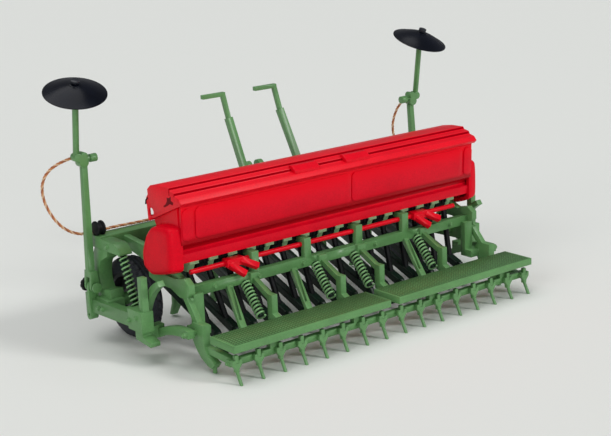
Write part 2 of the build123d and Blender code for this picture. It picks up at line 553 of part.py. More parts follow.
# ================================================================ side frames
guard_line = Polyline((18.3, 19.4), (15.0, 21.2), (15.0, END_Z0 + 0.4), (20.6, END_Z0 - 0.1))
guard_line += ThreePointArc((20.6, END_Z0 - 0.1), (22.3, 15.8), (20.6, 10.1))
guard_line += Polyline((20.6, 10.1), (14.4, 10.4), (14.8, 13.0), (18.3, 12.4))
guard_line += ThreePointArc((18.3, 12.4), (19.4, 15.8), (18.3, 19.4))
guard = plate_x(guard_line, SIDE_X0 - 0.7, SIDE_X1)
LOW_X = SIDE_X1 + 1.2
low = bar((LOW_X, PIVOT_Y, 8.6), (LOW_X, 1.4, 9.2), 2.4, 3.2)
low += block(SIDE_X0, LOW_X + 0.4, WHEEL_Y - 2.6, WHEEL_Y + 3.0, 7.2, 10.9)
gear_box = block(LOW_X - 1.4, LOW_X + 1.8, -3.4, 2.4, 7.4, 12.2)
post = block(LOW_X - 0.7, LOW_X + 0.9, -2.9, -1.3, 12.2, 20.1)
foot = prism_x([(0.4, 7.6), (0.4, 5.2), (-5.8, 4.6), (-5.8, 5.6), (-2.6, 6.4), (-2.6, 7.6)],
               LOW_X - 1.3, LOW_X + 1.3)
link_line = Wire([
    ThreePointArc((0.6, 5.6), (-5.6, 8.5), (-14.4, 9.4)),
    Line((-14.4, 9.4), (-14.4, 7.6)),
    ThreePointArc((-14.4, 7.6), (-6.0, 6.6), (1.0, 3.8)),
    Line((1.0, 3.8), (0.6, 5.6)),
])
link = plate_x(link_line, SIDE_X0 - 1.0, SIDE_X0 + 0.8)
link += rod((FRAME_X1 + 0.7 - SEAT, -13.4, 8.4), (SIDE_X0 + 1.3, -13.4, 8.4), 0.7)
link += block(SIDE_X0 - 1.0, SIDE_X1 + 0.2, -2.0, 0.2, 5.0, 8.0)
band_line = Wire([
    ThreePointArc((-0.4, 13.7), (-3.2, 17.6), (-6.6, 19.8)),
    Line((-6.6, 19.8), (-7.4, 18.7)),
    ThreePointArc((-7.4, 18.7), (-4.2, 16.3), (-1.2, 11.6)),
    Line((-1.2, 11.6), (-0.4, 13.7)),
])
band = plate_x(band_line, SIDE_X1 - 1.4, SIDE_X1 + 0.2)
SPRING_FOOT = (5.8, 10.9)
seat = block(SIDE_X0, SIDE_X1 + 0.6, SPRING_FOOT[0] - 1.3, SPRING_FOOT[0] + 1.3, 9.0, SPRING_FOOT[1])
node_pair("side_frame", fuse(guard, low, gear_box, post, foot, link, band, seat))
wheel_spring = coil_sleeve((SIDE_MID, SPRING_TOP_Y, SPRING_TOP_Z),
                           (SIDE_MID, SPRING_FOOT[0], SPRING_FOOT[1] - SEAT), SPRING_R)
node("wheel_springs", *both(wheel_spring))

# ================================================================ wheels
w = TYRE_W / 2
tyre = revolve_x([(-w, RIM_R), (-w, WHEEL_R - SHOULDER), (SHOULDER - w, WHEEL_R), (w - SHOULDER, WHEEL_R),
                  (w, WHEEL_R - SHOULDER), (w, RIM_R)], WHEEL_X, WHEEL_Y, WHEEL_R)
BORE_R = AXLE_R + FIT
RIM_W = w - 0.3
HUB_IN, HUB_OUT = -1.9, 1.6         # faces of the hub
rim = revolve_x([
    (-RIM_W, RIM_R), (-RIM_W, HUB_R), (HUB_IN, HUB_R), (HUB_IN, BORE_R), (HUB_OUT, BORE_R), (HUB_OUT, HUB_R),
    (RIM_DISH, HUB_R), (RIM_DISH, RIM_R - RIM_WALL), (RIM_W, RIM_R - RIM_WALL), (RIM_W, RIM_R)],
    WHEEL_X, WHEEL_Y, WHEEL_R)
axle = revolve_x([
    (HUB_IN - GAP - 0.9, 0), (HUB_IN - GAP - 0.9, HEAD_R), (HUB_IN - GAP, HEAD_R), (HUB_IN - GAP, AXLE_R),
    (HUB_OUT + GAP, AXLE_R), (HUB_OUT + GAP, HEAD_R), (SIDE_X0 + SEAT - WHEEL_X, HEAD_R),
    (SIDE_X0 + SEAT - WHEEL_X, 0)], WHEEL_X, WHEEL_Y, WHEEL_R)
node_pair("tyre", tyre)
node_pair("rim", rim)
node("wheel_axles", *both(axle))

# ================================================================ markers
TONGUE_Y = PIVOT_Y - TONGUE_T / 2, PIVOT_Y + TONGUE_T / 2
PRONG_Y = TONGUE_Y[0] - GAP - PRONG_T, TONGUE_Y[1] + GAP + PRONG_T
FORK_TOP = PIVOT_Z + 3.9
ARM_TOP = (PIVOT_X - 0.8, CLAMP_Y, CLAMP_Z - 1.6)
pivot_bore = rod((PIVOT_X, PRONG_Y[0] - 1, PIVOT_Z), (PIVOT_X, PRONG_Y[1] + 1, PIVOT_Z), PIVOT_R + FIT)
eye = rod((PIVOT_X, PRONG_Y[0], PIVOT_Z), (PIVOT_X, PRONG_Y[1], PIVOT_Z), EYE_R)
cheeks = prism_y([(PIVOT_X - EYE_R, PIVOT_Z), (PIVOT_X + EYE_R, PIVOT_Z), (PIVOT_X + 0.9, FORK_TOP),
                  (PIVOT_X - 0.8, FORK_TOP)], *PRONG_Y)
slot = block(PIVOT_X - 3, PIVOT_X + 3, TONGUE_Y[0] - GAP, TONGUE_Y[1] + GAP, PIVOT_Z - 3, FORK_TOP - 1.5)
shank = loft([
    Plane(origin=(PIVOT_X + 0.1, PIVOT_Y + 0.2, FORK_TOP - 0.6)) * Rectangle(ARM_W0, 1.5),
    Plane(origin=ARM_TOP) * Rectangle(ARM_W1, 1.3),
])
node_pair("marker_arm", fuse(eye, cheeks, shank) - slot - pivot_bore)

LOBES = [(-0.6, -0.6, 1.2), (0.8, 0.7, 1.0), (-0.8, 0.9, 0.9)]      # (dx, dz, r)
clamp_y = CLAMP_Y - CLAMP_T / 2, CLAMP_Y + CLAMP_T / 2
lobes = [facet_rod((CLAMP_X + dx, clamp_y[0], CLAMP_Z + dz), (CLAMP_X + dx, clamp_y[1], CLAMP_Z + dz), r, 16)
         for dx, dz, r in LOBES]
knob_bar = facet_rod((CLAMP_X - 4.0, CLAMP_Y, CLAMP_Z), (CLAMP_X - 0.5, CLAMP_Y, CLAMP_Z), 0.6, 12)
knob_end = facet_rod((CLAMP_X - 4.3, CLAMP_Y, CLAMP_Z), (CLAMP_X - 2.6, CLAMP_Y, CLAMP_Z), 1.0, 12)
node_pair("marker_clamp", fuse(*lobes, knob_bar, knob_end))

ROD_FOOT = (CLAMP_X + 0.9, CLAMP_Y - 0.2, CLAMP_Z + 1.0)
disc_axis = Vector(*DISC_LEAN).normalized()
disc_frame = Plane(origin=(DISC_X, DISC_Y, DISC_Z), z_dir=disc_axis)
DISC_TOP = 2.2
spindle = disc_frame * revolve(Plane.XZ * make_face(Polyline(
    (0, -0.7), (0.95, -0.7), (0.95, 0.6), (SPIN_R, 0.6), (SPIN_R, DISC_TOP + GAP), (1.0, DISC_TOP + GAP),
    (1.0, DISC_TOP + GAP + 0.6), (0, DISC_TOP + GAP + 0.6), close=True)), axis=Axis.Z)
node_pair("marker_rod", fuse(facet_rod(ROD_FOOT, (DISC_X, DISC_Y, DISC_Z - 0.2), TOP_ROD_R, 12), spindle))
dish = flat_turned([(DISC_R, -DISC_T), (DISC_R, 0), (2.2, 1.6), (1.4, DISC_TOP)], DISC_SIDES)
dish -= flat_turned([(DISC_R, -DISC_T), (1.6, 0.6 + GAP)], DISC_SIDES)
disc = disc_frame * (dish - Cylinder(SPIN_R + FIT, 4 * DISC_TOP))
node_pair("marker_disc", disc)

tongue = fuse(
    rod((PIVOT_X, TONGUE_Y[0], PIVOT_Z), (PIVOT_X, TONGUE_Y[1], PIVOT_Z), EYE_R),
    block(PIVOT_X - EYE_R, PIVOT_X + EYE_R, *TONGUE_Y, 9.0, PIVOT_Z))
LUG_TOP = PIVOT_Z - EYE_R - GAP
LUG_Y = PIVOT_Y - 0.2, PIVOT_Y + 1.8
LUG_FOOT = 5.0
LUG_HOLE = (PIVOT_Y + 0.8, LUG_FOOT + 1.2)
lug_line = Polyline((LUG_Y[0], LUG_FOOT + 1), (LUG_Y[0], LUG_TOP), (LUG_Y[1], LUG_TOP),
                    (LUG_Y[1], LUG_FOOT + 1))
lug_line += ThreePointArc((LUG_Y[1], LUG_FOOT + 1), (LUG_HOLE[0], LUG_FOOT), (LUG_Y[0], LUG_FOOT + 1))
lug = plate_x(lug_line, PIVOT_X - 1.0, PIVOT_X + 1.0)
lug -= facet_rod((PIVOT_X - 2, *LUG_HOLE), (PIVOT_X + 2, *LUG_HOLE), 0.4)
pin = fuse(
    rod((PIVOT_X, PRONG_Y[0] - GAP - 0.6, PIVOT_Z), (PIVOT_X, PRONG_Y[1] + GAP + SEAT, PIVOT_Z), PIVOT_R),
    rod((PIVOT_X, PRONG_Y[0] - GAP - 0.6, PIVOT_Z), (PIVOT_X, PRONG_Y[0] - GAP, PIVOT_Z), 1.2))
node("marker_lugs", *both(fuse(lug, tongue, pin)))
knob = facet_rod((PIVOT_X, PRONG_Y[1] + GAP, PIVOT_Z), (PIVOT_X, PRONG_Y[1] + GAP + 1.2, PIVOT_Z), 1.7, 16)
node("pivot_knobs", *both(knob))
PULLEY_R = 1.8
PULLEY_Y, PULLEY_Z = 20.2, BEAM_TOP + PULLEY_R - SEAT
pulley = facet_rod((FRAME_HALF - 2.6, PULLEY_Y, PULLEY_Z), (FRAME_HALF - 0.3, PULLEY_Y, PULLEY_Z),
                   PULLEY_R, 16)
node("beam_pulleys", *both(pulley))


# ================================================================ ropes
def cord(points, d):
    """Tube of straight runs joined by tangent arcs, each as large as its runs allow."""
    pts = [Vector(*p) for p in points]
    radii = []
    for a, b, c in zip(pts, pts[1:], pts[2:]):
        u, v = b - a, c - b
        turn = radians(u.get_angle(v))
        radii.append(0.45 * min(u.length, v.length) / tan(turn / 2))
    line = FilletPolyline(*pts, radius=radii)
    section = Plane(origin=line @ 0, z_dir=line % 0) * RegularPolygon(d / 2, CORD_SIDES)
    tube = sweep(section, path=line)
    print("cord radii", [round(r, 1) for r in radii], "diameter", d, "length", round(line.length, 1))
    print("volume against section times length", round(tube.volume / (section.area * line.length), 4))
    return tube


def rope_route(loop):
    """Route points of a rope: its loop, then its run along the beam."""
    beam_run = [(FRAME_HALF * part, y, z) for part, y, z in ROPE_BEAM]
    return [(PIVOT_X + dx, y, z) for dx, y, z in loop] + beam_run + [ROPE_END]


node("rope_right", cord(rope_route(ROPE_LOOP_RIGHT), ROPE_D))
node("rope_left", mirrored(cord(rope_route(ROPE_LOOP_LEFT), ROPE_D)))

os.makedirs("parts", exist_ok=True)
for name, shape in nodes.items():
    export_step(shape, "parts/" + name + ".step")
print(len(nodes), "nodes")
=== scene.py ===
import bpy
import bmesh
import json
import math
from mathutils import Matrix, Vector


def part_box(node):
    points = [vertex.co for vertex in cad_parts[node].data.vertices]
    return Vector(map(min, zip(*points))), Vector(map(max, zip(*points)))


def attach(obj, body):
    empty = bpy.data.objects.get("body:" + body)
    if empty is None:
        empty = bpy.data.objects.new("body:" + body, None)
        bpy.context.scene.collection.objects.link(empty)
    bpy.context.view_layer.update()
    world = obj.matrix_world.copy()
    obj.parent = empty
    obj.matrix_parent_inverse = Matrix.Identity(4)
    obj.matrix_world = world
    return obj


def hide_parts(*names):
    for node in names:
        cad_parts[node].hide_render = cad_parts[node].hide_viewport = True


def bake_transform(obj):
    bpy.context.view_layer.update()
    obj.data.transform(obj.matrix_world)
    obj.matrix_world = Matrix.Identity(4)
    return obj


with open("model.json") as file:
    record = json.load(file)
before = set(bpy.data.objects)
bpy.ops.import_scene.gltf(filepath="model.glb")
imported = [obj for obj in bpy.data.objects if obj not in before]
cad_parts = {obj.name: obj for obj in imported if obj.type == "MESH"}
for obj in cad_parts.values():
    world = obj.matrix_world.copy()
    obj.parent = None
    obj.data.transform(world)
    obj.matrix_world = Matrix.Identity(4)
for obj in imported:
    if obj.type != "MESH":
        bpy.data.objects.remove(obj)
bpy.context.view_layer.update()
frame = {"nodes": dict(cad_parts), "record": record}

MM = 0.001
scene = bpy.context.scene
scene.view_settings.view_transform = "Standard"

# ---------------------------------------------------------------- camera
AZIMUTH = math.radians(-37.876)
ELEVATION = math.radians(14.674)
ROLL = math.radians(-2.398)
EYE = Vector((-0.205290, -0.260001, 0.110214))
LENS_WIDTHS = 1392.13 / 611          # focal length in picture widths
SENSOR = 36                          # sensor width in mm; it cancels out of the view

cam_data = bpy.data.cameras.new("camera")
cam = bpy.data.objects.new("camera", cam_data)
scene.collection.objects.link(cam)
scene.camera = cam
side = Vector((math.cos(AZIMUTH), math.sin(AZIMUTH), 0))
back = Vector((
    math.sin(AZIMUTH) * math.cos(ELEVATION),
    -math.cos(AZIMUTH) * math.cos(ELEVATION),
    math.sin(ELEVATION),
))
up = back.cross(side)
side_r = side * math.cos(ROLL) + up * math.sin(ROLL)
up_r = up * math.cos(ROLL) - side * math.sin(ROLL)
pose = Matrix((side_r, up_r, back)).transposed().to_4x4()
pose.translation = EYE
cam.matrix_world = pose
cam_data.sensor_width = SENSOR
cam_data.lens = SENSOR * LENS_WIDTHS
cam_data.clip_start = 0.01
cam_data.clip_end = 50

# ---------------------------------------------------------------- light and floor
FLOOR_COLOUR = (0.80, 0.815, 0.78, 1)
SKY_COLOUR = (0.93, 0.95, 1.0, 1)
SKY_STRENGTH = 0.17
LAMP_DISTANCE = 0.6


def soft_sun(name, direction, spread, strength):
    """Very large distant softbox: the same light everywhere on the table."""
    data = bpy.data.lights.new(name, "SUN")
    data.angle = math.radians(spread)
    data.energy = strength
    lamp = bpy.data.objects.new(name, data)
    scene.collection.objects.link(lamp)
    lamp.location = Vector(direction) * LAMP_DISTANCE
    lamp.rotation_euler = (-Vector(direction)).to_track_quat("-Z", "Y").to_euler()


SOFTBOXES = [                        # name, direction it stands in, spread in degrees, strength
    ("softbox_top", (-0.15, 0.10, 1.0), 60, 1.42),
    ("softbox_back_right", (0.45, -0.72, 0.56), 14, 1.15),
    ("softbox_left", (-0.85, -0.20, 0.42), 30, 0.6),
    ("softbox_low", (-0.25, -0.93, 0.14), 24, 0.72),
]
for softbox in SOFTBOXES:
    soft_sun(*softbox)

world = bpy.data.worlds.new("studio")
scene.world = world
world.use_nodes = True
world_bg = world.node_tree.nodes["Background"]
world_bg.inputs["Color"].default_value = SKY_COLOUR
world_bg.inputs["Strength"].default_value = SKY_STRENGTH


# ---------------------------------------------------------------- material helpers
def new_material(name):
    """A material with its node tree and its main shader."""
    mat = bpy.data.materials.new(name)
    mat.use_nodes = True
    tree = mat.node_tree
    return mat, tree, tree.nodes["Principled BSDF"]


def add(tree, kind, **values):
    """Adds a node; values are put on inputs or properties of that name."""
    n = tree.nodes.new(kind)
    for key, value in values.items():
        if key in n.inputs:
            n.inputs[key].default_value = value
        else:
            setattr(n, key, value)
    return n


def noise(tree, scale, detail=3.0, rough=0.5):
    """Noise that stays with the object's own coordinates."""
    tc = add(tree, "ShaderNodeTexCoord")
    n = add(tree, "ShaderNodeTexNoise")
    n.inputs["Scale"].default_value = scale
    n.inputs["Detail"].default_value = detail
    n.inputs["Roughness"].default_value = rough
    tree.links.new(tc.outputs["Object"], n.inputs["Vector"])
    return n


def ramp(tree, source, low, high, a=0.35, b=0.65):
    """Colour ramp from low at a to high at b."""
    r = add(tree, "ShaderNodeValToRGB")
    r.color_ramp.elements[0].position = a
    r.color_ramp.elements[1].position = b
    r.color_ramp.elements[0].color = low
    r.color_ramp.elements[1].color = high
    tree.links.new(source, r.inputs["Fac"])
    return r


def mix_rgb(tree, kind, fac, a, b):
    """Mixes two colours, each given as a value or a socket."""
    m = add(tree, "ShaderNodeMix")
    m.data_type = "RGBA"
    m.blend_type = kind
    for socket, value in ((m.inputs["Factor"], fac), (m.inputs[6], a), (m.inputs[7], b)):
        if hasattr(value, "is_output"):
            tree.links.new(value, socket)
        else:
            socket.default_value = value
    return m.outputs[2]


def bump(tree, bsdf, height, strength, distance):
    """Fine relief on the shader."""
    b = add(tree, "ShaderNodeBump")
    b.inputs["Strength"].default_value = strength
    b.inputs["Distance"].default_value = distance
    tree.links.new(height, b.inputs["Height"])
    tree.links.new(b.outputs["Normal"], bsdf.inputs["Normal"])


def shade(colour, k):
    """The colour made lighter or darker by k."""
    return (colour[0] * k, colour[1] * k, colour[2] * k, 1)


def math_node(tree, operation, *values):
    """One sum on numbers or sockets."""
    m = add(tree, "ShaderNodeMath", operation=operation)
    for socket, value in zip(m.inputs, values):
        if hasattr(value, "is_output"):
            tree.links.new(value, socket)
        else:
            socket.default_value = value
    return m.outputs[0]


def object_axes(tree):
    """The object's own X, Y and Z."""
    tc = add(tree, "ShaderNodeTexCoord")
    sep = add(tree, "ShaderNodeSeparateXYZ")
    tree.links.new(tc.outputs["Object"], sep.inputs["Vector"])
    return sep.outputs


def fade(tree, value, start, full):
    """0 at start, 1 at full, eased between."""
    r = add(tree, "ShaderNodeMapRange", interpolation_type="SMOOTHSTEP")
    r.inputs["From Min"].default_value = start
    r.inputs["From Max"].default_value = full
    tree.links.new(value, r.inputs["Value"])
    return r.outputs["Result"]


def recolour(tree, bsdf, mask, colour):
    """Puts colour over the base colour where mask is 1."""
    old = bsdf.inputs["Base Color"].links[0].from_socket
    tree.links.new(mix_rgb(tree, "MIX", mask, old, colour), bsdf.inputs["Base Color"])


def cast_paint(name, colour, roughness, coat, grain=1.0, spread=0.10, shine=0.5):
    """Sprayed enamel on a die-cast or moulded part: soft cloudy tone, fine orange peel."""
    mat, tree, bsdf = new_material(name)
    cloud = noise(tree, 160, 4, 0.6)
    tone = ramp(tree, cloud.outputs["Fac"], shade(colour, 1 - spread), shade(colour, 1 + spread))
    speck = noise(tree, 2600, 2, 0.5)
    spots = ramp(tree, speck.outputs["Fac"], (0.86, 0.86, 0.86, 1), (1.06, 1.06, 1.06, 1), 0.3, 0.7)
    base = mix_rgb(tree, "MULTIPLY", 0.6, tone.outputs["Color"], spots.outputs["Color"])
    tree.links.new(base, bsdf.inputs["Base Color"])
    rough = add(tree, "ShaderNodeMapRange")
    rough.inputs["To Min"].default_value = roughness - 0.06
    rough.inputs["To Max"].default_value = roughness + 0.08
    tree.links.new(cloud.outputs["Fac"], rough.inputs["Value"])
    tree.links.new(rough.outputs["Result"], bsdf.inputs["Roughness"])
    bsdf.inputs["Specular IOR Level"].default_value = shine
    bsdf.inputs["Coat Weight"].default_value = coat
    bsdf.inputs["Coat Roughness"].default_value = 0.22
    peel = noise(tree, 1500, 3, 0.55)
    bump(tree, bsdf, peel.outputs["Fac"], 0.25 * grain, 0.00006)
    return mat


GREEN = (0.111, 0.272, 0.093)
# the metering housings' own pale green, made lighter still as painted light where they stand in the hopper's
# shade
PALE_GREEN_PAINTED_LIGHT = (0.36, 0.60, 0.31)
RED = (0.74, 0.0015, 0.014)
# name, colour, roughness, coat, grain, spread, shine
green = cast_paint("green_enamel", GREEN, 0.40, 0.15, shine=0.4)
green_arm = cast_paint("green_enamel_arm", GREEN, 0.38, 0.2, shine=0.4)
pale_green_painted_light = cast_paint("metering_green_plastic_painted_light", PALE_GREEN_PAINTED_LIGHT, 0.45, 0.0, shine=0.4)
# near-black green of the coulter arms, also put on the springs' cores as painted shade between the turns
dark_green_and_coil_shade = cast_paint("green_black_boots_and_coil_shade", (0.005, 0.017, 0.010), 0.40, 0.0, 1.0, 0.25, 0.25)
spring_mat = cast_paint("spring_enamel", (0.19, 0.40, 0.16), 0.32, 0.2, 0.6, 0.12, 0.5)
red = cast_paint("red_gloss", RED, 0.30, 0.0, 0.5, 0.06, 0.16)
red_cover = cast_paint("red_gloss_cover", (0.72, 0.001, 0.014), 0.36, 0.0, 0.5, 0.06, 0.08)
# painted shade: the dark red of the flat plates drawn as the lid ends' recesses
recess_shade_red = cast_paint("red_recess_painted_shade", (0.16, 0.0, 0.004), 0.5, 0.0, 0.8, 0.1, 0.1)
blue_black = cast_paint("disc_enamel", (0.0028, 0.004, 0.0085), 0.25, 0.0, 0.6, 0.25, 0.17)
black = cast_paint("black_plastic", (0.005, 0.006, 0.007), 0.5, 0.0, 1.0, 0.25, 0.2)
hub_mat = cast_paint("hub_plastic", (0.020, 0.022, 0.024), 0.45, 0.1, 1.0, 0.2)
steel = cast_paint("plated_steel", (0.30, 0.31, 0.30), 0.3, 0.0, 0.6, 0.15, 0.5)
steel.node_tree.nodes["Principled BSDF"].inputs["Metallic"].default_value = 0.9

LID_STEPS = (-5.9 * MM, -7.9 * MM)   # the two ledges along the lid's rear slope
STEP_HALF = 0.13 * MM
LID_STEP_LOW = 38.35 * MM
LID_SHINE = 0.20
# painted shade: the dark red put into the two ledges along the lid
LEDGE_SHADE_RED = (0.30, 0.0, 0.004, 1)


def lid_paint():
    """Red enamel with painted shade in the lid's ledges, where the shine is taken off too."""
    mat = cast_paint("red_gloss_lid", (0.80, 0.003, 0.016), 0.40, 0.0, 0.5, 0.05, LID_SHINE)
    tree = mat.node_tree
    bsdf = tree.nodes["Principled BSDF"]
    axes = object_axes(tree)
    near = [math_node(tree, "COMPARE", axes["Y"], place, STEP_HALF) for place in LID_STEPS]
    on_top = math_node(tree, "GREATER_THAN", axes["Z"], LID_STEP_LOW)
    mask = math_node(tree, "MULTIPLY", math_node(tree, "MAXIMUM", *near), on_top)
    recolour(tree, bsdf, mask, LEDGE_SHADE_RED)
    shine = math_node(tree, "MULTIPLY", math_node(tree, "SUBTRACT", 1.0, mask), LID_SHINE)
    tree.links.new(shine, bsdf.inputs["Specular IOR Level"])
    return mat


ROD_BLACK_FROM = 58.9 * MM
ROD_BLACK = (0.006, 0.008, 0.014, 1)


def rod_paint():
    """Green rod whose end above the disc is black."""
    mat = cast_paint("green_enamel_rod", GREEN, 0.38, 0.2, shine=0.4)
    tree = mat.node_tree
    mask = math_node(tree, "GREATER_THAN", object_axes(tree)["Z"], ROD_BLACK_FROM)
    recolour(tree, tree.nodes["Principled BSDF"], mask, ROD_BLACK)
    return mat


# heights on the hopper's rear wall: the shade under the panels, and the lit upper part
SHADE_FROM, SHADE_FULL, SHADE_END = 28.9 * MM, 27.5 * MM, 25.7 * MM
SHADE_EDGE = 0.1 * MM                # half the width of the shade's lower edge
LIT_FROM, LIT_FULL = 31.0 * MM, 35.5 * MM
REAR_OF = -6.5 * MM
LIT_RED = (0.80, 0.0005, 0.012, 1)
SHADE_RED = (0.36, 0.0, 0.005, 1)


def hopper_paint():
    """Red enamel, brighter high on the rear wall and dark where the wall turns under."""
    mat = cast_paint("red_gloss_hopper", (0.72, 0.002, 0.017), 0.34, 0.0, 0.5, 0.06, 0.12)
    tree = mat.node_tree
    bsdf = tree.nodes["Principled BSDF"]
    axes = object_axes(tree)
    recolour(tree, bsdf, fade(tree, axes["Z"], LIT_FROM, LIT_FULL), LIT_RED)
    rear = math_node(tree, "LESS_THAN", axes["Y"], REAR_OF)
    above = fade(tree, axes["Z"], SHADE_END - SHADE_EDGE, SHADE_END + SHADE_EDGE)
    under = math_node(tree, "SUBTRACT", 1.0, fade(tree, axes["Z"], SHADE_FULL, SHADE_FROM))
    shaded = math_node(tree, "MULTIPLY", math_node(tree, "MULTIPLY", rear, above), under)
    recolour(tree, bsdf, shaded, SHADE_RED)
    return mat


red_hopper = hopper_paint()
red_lid = lid_paint()
green_rod = rod_paint()


def rubber():
    """Dull tyre rubber."""
    mat, tree, bsdf = new_material("tyre_rubber")
    cloud = noise(tree, 300, 4, 0.6)
    tone = ramp(tree, cloud.outputs["Fac"], (0.006, 0.008, 0.014, 1), (0.015, 0.018, 0.027, 1))
    tree.links.new(tone.outputs["Color"], bsdf.inputs["Base Color"])
    bsdf.inputs["Roughness"].default_value = 0.62
    grain = noise(tree, 2200, 3, 0.6)
    bump(tree, bsdf, grain.outputs["Fac"], 0.5, 0.00008)
    return mat


STEP_IN = 1.3 * MM                   # inner end of each step
TREAD_PITCH = 0.80 * MM
TREAD_MARGIN = 0.55 * MM
TREAD_TOP = 0.1 * MM                 # depth of the band at the top that counts as the tread
TREAD_WIDTH = 0.42                   # more than 0 makes the squares wider than the grooves
TREAD_STEEPNESS = 4.0
GROOVE_SHADE = 0.9
# painted shade: the darker green put into the tread's grooves
GROOVE_SHADE_GREEN = (0.034, 0.095, 0.025, 1)


def tread_plate():
    """Green enamel; rows of small raised squares on the top with painted shade in the grooves between them,
    plain edges all round.
    """
    mat = cast_paint("tread_plate", GREEN, 0.46, 0.0, shine=0.35)
    tree = mat.node_tree
    bsdf = tree.nodes["Principled BSDF"]
    axes = object_axes(tree)
    low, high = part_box("steps")
    waves = []
    for axis in "XY":
        turn = math_node(tree, "MULTIPLY", axes[axis], 2 * math.pi / TREAD_PITCH)
        wave = math_node(tree, "SINE", turn)
        waves.append(math_node(tree, "ADD", wave, TREAD_WIDTH))
    square = math_node(tree, "MULTIPLY", math_node(tree, "MINIMUM", *waves), TREAD_STEEPNESS)
    raised = math_node(tree, "MAXIMUM", math_node(tree, "MINIMUM", square, 1.0), 0.0)
    reach = math_node(tree, "ABSOLUTE", axes["X"])
    inside = [
        math_node(tree, "GREATER_THAN", axes["Z"], high[2] - TREAD_TOP),
        math_node(tree, "GREATER_THAN", axes["Y"], low[1] + TREAD_MARGIN),
        math_node(tree, "LESS_THAN", reach, high[0] - TREAD_MARGIN),
        math_node(tree, "GREATER_THAN", reach, STEP_IN + TREAD_MARGIN),
    ]
    mask = inside[0]
    for m in inside[1:]:
        mask = math_node(tree, "MULTIPLY", mask, m)
    groove = math_node(tree, "MULTIPLY", math_node(tree, "SUBTRACT", 1.0, raised), mask)
    recolour(tree, bsdf, math_node(tree, "MULTIPLY", groove, GROOVE_SHADE), GROOVE_SHADE_GREEN)
    height = math_node(tree, "SUBTRACT", 1.0, groove)
    bump(tree, bsdf, height, 0.8, 0.00014)
    return mat


def strand(name, colour, dark):
    """Dull thread with a fine fibre."""
    mat, tree, bsdf = new_material(name)
    fibre = noise(tree, 5200, 3, 0.7)
    tone = ramp(tree, fibre.outputs["Fac"], dark, colour)
    tree.links.new(tone.outputs["Color"], bsdf.inputs["Base Color"])
    bsdf.inputs["Roughness"].default_value = 0.8
    bsdf.inputs["Sheen Weight"].default_value = 0.3
    bump(tree, bsdf, fibre.outputs["Fac"], 0.6, 0.00005)
    return mat


tyre_mat = rubber()
tread_mat = tread_plate()
strand_mats = [
    strand("strand_brown", (0.50, 0.16, 0.05, 1), (0.26, 0.06, 0.02, 1)),
    strand("strand_cream", (0.80, 0.62, 0.42, 1), (0.62, 0.36, 0.18, 1)),
    strand("strand_orange", (0.66, 0.27, 0.09, 1), (0.42, 0.13, 0.04, 1)),
]

NODE_MATERIALS = [                   # name start, material
    ("lid_catches", red), ("lid", red_lid), ("hopper_brackets", green), ("hopper", red_hopper),
    ("end_covers", red_cover), ("drive_shaft", red), ("fork_levers", red),
    ("metering_units", pale_green_painted_light), ("coulter_arms", dark_green_and_coil_shade),
    ("marker_rod", green_rod), ("steps", tread_mat), ("tyre_", tyre_mat), ("rim_", hub_mat),
    ("marker_disc", blue_black), ("marker_", green_arm), ("pivot_knobs", black), ("beam_pulleys", black),
    ("seed_tubes", black), ("rope_", strand_mats[0]),
]
BEVELS = [                           # name start, width in metres
    ("seed_tubes", 0), ("rope_", 0), ("tyre_", 0), ("rim_", 0),
    ("pressure_springs", 0), ("wheel_springs", 0),
    ("marker_disc", 0.00008), ("lid", 0.00016),
]
BEVEL_WIDTH = 0.00014                # every node that BEVELS doesn't name
BEVEL_SEGMENTS = 2
BEVEL_ANGLE = math.radians(35)
WELD_DISTANCE = 1e-6
for node_name, node in frame["nodes"].items():
    chosen = next((m for start, m in NODE_MATERIALS if node_name.startswith(start)), green)
    node.data.materials.clear()
    node.data.materials.append(chosen)
    node.data.polygons.foreach_set("use_smooth", [True] * len(node.data.polygons))
    width = next((w for start, w in BEVELS if node_name.startswith(start)), BEVEL_WIDTH)
    if width:
        weld = node.modifiers.new("weld", "WELD")
        weld.merge_threshold = WELD_DISTANCE
        bev = node.modifiers.new("bevel", "BEVEL")
        bev.width = width
        bev.segments = BEVEL_SEGMENTS
        bev.limit_method = "ANGLE"
        bev.angle_limit = BEVEL_ANGLE
        bev.harden_normals = True
        bev.use_clamp_overlap = True

# ---------------------------------------------------------------- floor
FLOOR_HALF = 6
FLOOR_CORNERS = [(-1, -1), (1, -1), (1, 1), (-1, 1)]
floor_mesh = bpy.data.meshes.new("floor")
floor_mesh.from_pydata([(x * FLOOR_HALF, y * FLOOR_HALF, 0) for x, y in FLOOR_CORNERS], [], [(0, 1, 2, 3)])
floor = bpy.data.objects.new("floor", floor_mesh)
scene.collection.objects.link(floor)
floor_mat, _, floor_bsdf = new_material("floor_paper")
floor_bsdf.inputs["Base Color"].default_value = FLOOR_COLOUR
floor_bsdf.inputs["Roughness"].default_value = 0.75
floor_mesh.materials.append(floor_mat)


# ---------------------------------------------------------------- mesh helpers
def mesh_object(name, verts, faces, material, smooth=True, indices=None):
    """A linked mesh object, with one material or a list picked by indices."""
    mesh = bpy.data.meshes.new(name)
    mesh.from_pydata(verts, [], faces)
    mats = material if isinstance(material, list) else [material]
    for m in mats:
        mesh.materials.append(m)
    if indices:
        mesh.polygons.foreach_set("material_index", indices)
    mesh.polygons.foreach_set("use_smooth", [smooth] * len(mesh.polygons))
    mesh.update()
    obj = bpy.data.objects.new(name, mesh)
    scene.collection.objects.link(obj)
    return obj


